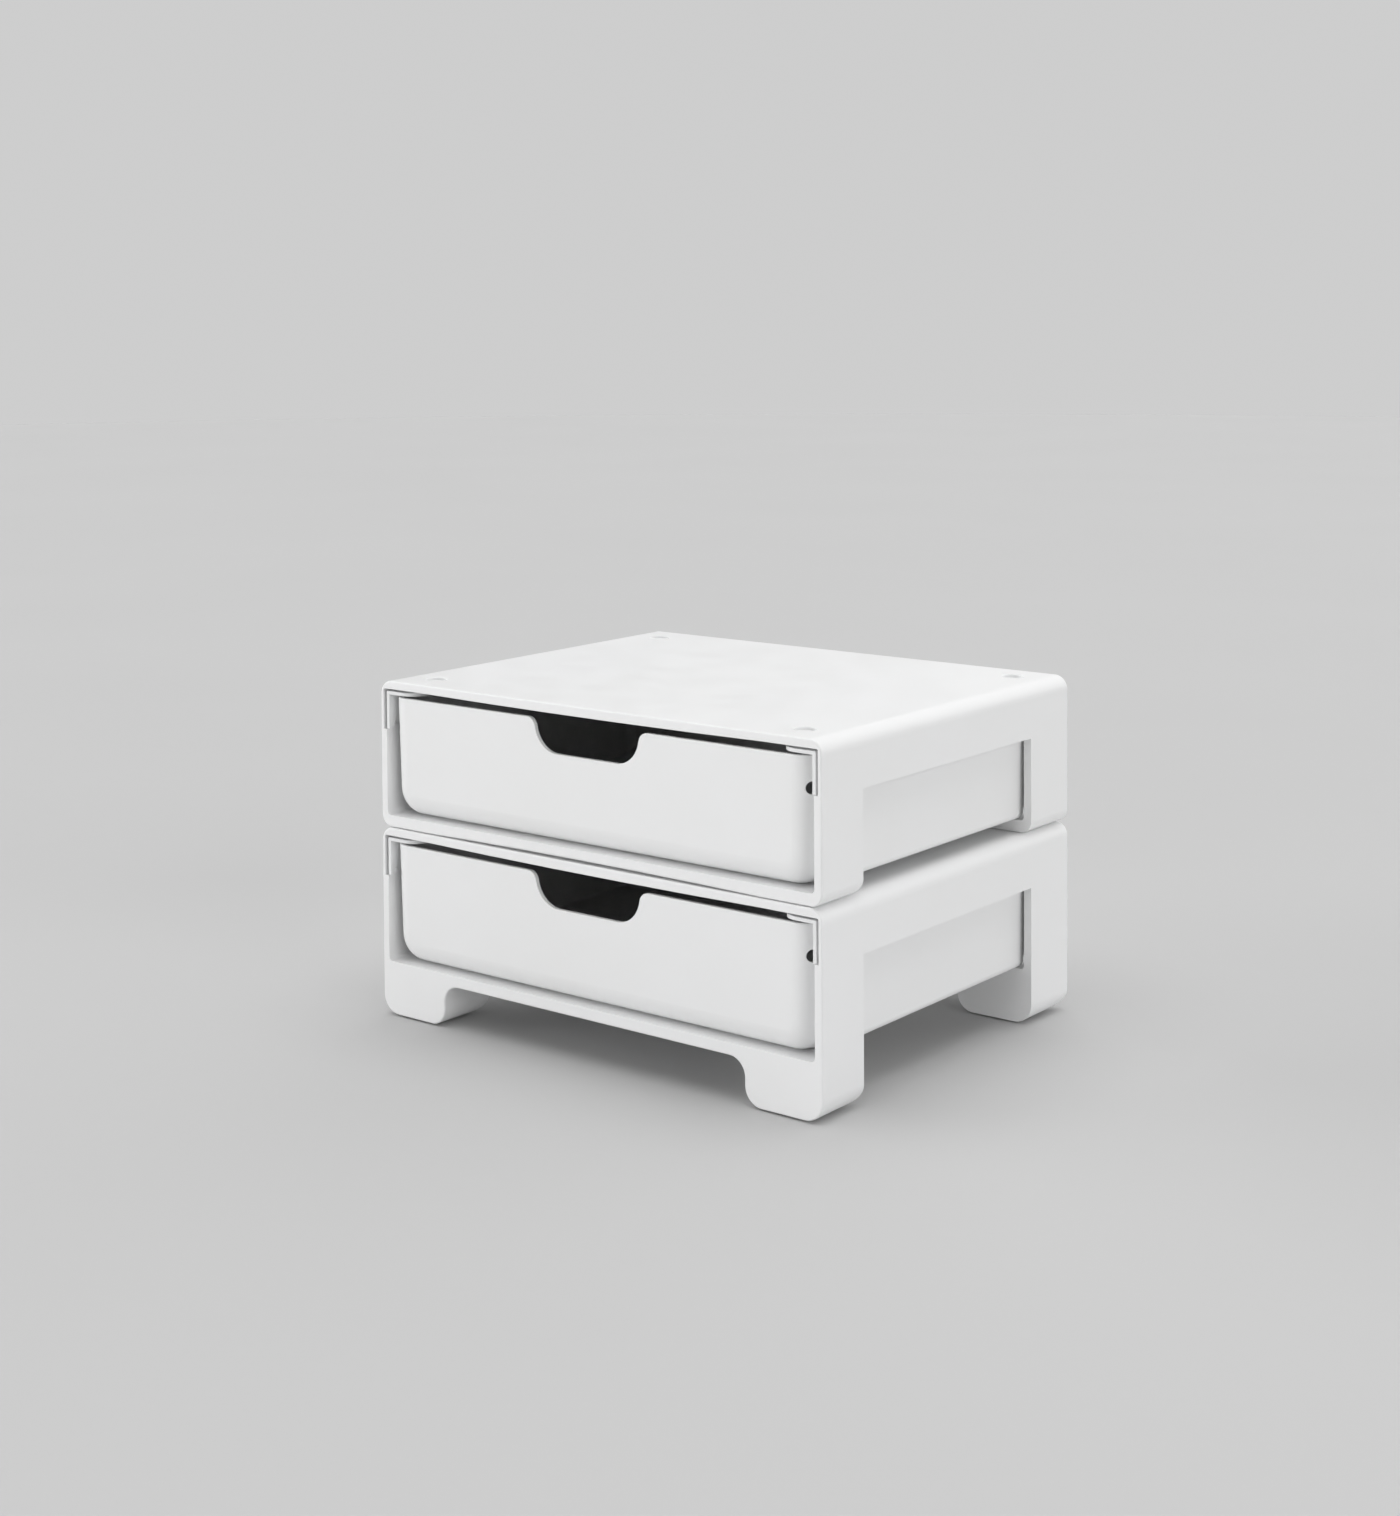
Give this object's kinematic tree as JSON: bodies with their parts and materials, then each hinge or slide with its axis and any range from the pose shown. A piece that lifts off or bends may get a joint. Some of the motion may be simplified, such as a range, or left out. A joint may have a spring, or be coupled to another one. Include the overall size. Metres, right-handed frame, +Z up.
{
  "type": "stacking desk drawer",
  "caption": "Low stacking desktop drawer set: white plastic cases with open sides, block legs and wide shallow drawers with finger notches.",
  "frame": {"origin": "on the ground under the centre of the footprint", "axes": "+Z up; -Y is the front, where the drawers open; +X is the viewer's right when facing the front"},
  "size_m": [0.33, 0.263, 0.207],
  "materials": {
    "case_plastic": "satin",
    "drawer_plastic": "satin",
    "catch_plastic": "satin",
    "pad_rubber": "matte"
  },
  "bodies": {
    "frame": {"lower_case": "case_plastic", "upper_case": "case_plastic", "lower_left_catch": "catch_plastic", "lower_right_catch": "catch_plastic", "upper_left_catch": "catch_plastic", "upper_right_catch": "catch_plastic", "front_left_stacking_pad": "pad_rubber", "front_right_stacking_pad": "pad_rubber", "rear_left_stacking_pad": "pad_rubber", "rear_right_stacking_pad": "pad_rubber", "front_left_foot_pad": "pad_rubber", "front_right_foot_pad": "pad_rubber", "rear_left_foot_pad": "pad_rubber", "rear_right_foot_pad": "pad_rubber"},
    "lower_sliding_drawer": {"lower_drawer": "drawer_plastic"},
    "upper_sliding_drawer": {"upper_drawer": "drawer_plastic"}
  },
  "joints": [
    {"name": "lower_drawer_slide", "type": "slide", "parent": "frame", "child": "lower_sliding_drawer", "axis": [0, -1, 0], "range_m": [0, 0.148]},
    {"name": "upper_drawer_slide", "type": "slide", "parent": "frame", "child": "upper_sliding_drawer", "axis": [0, -1, 0], "range_m": [0, 0.148]}
  ]
}
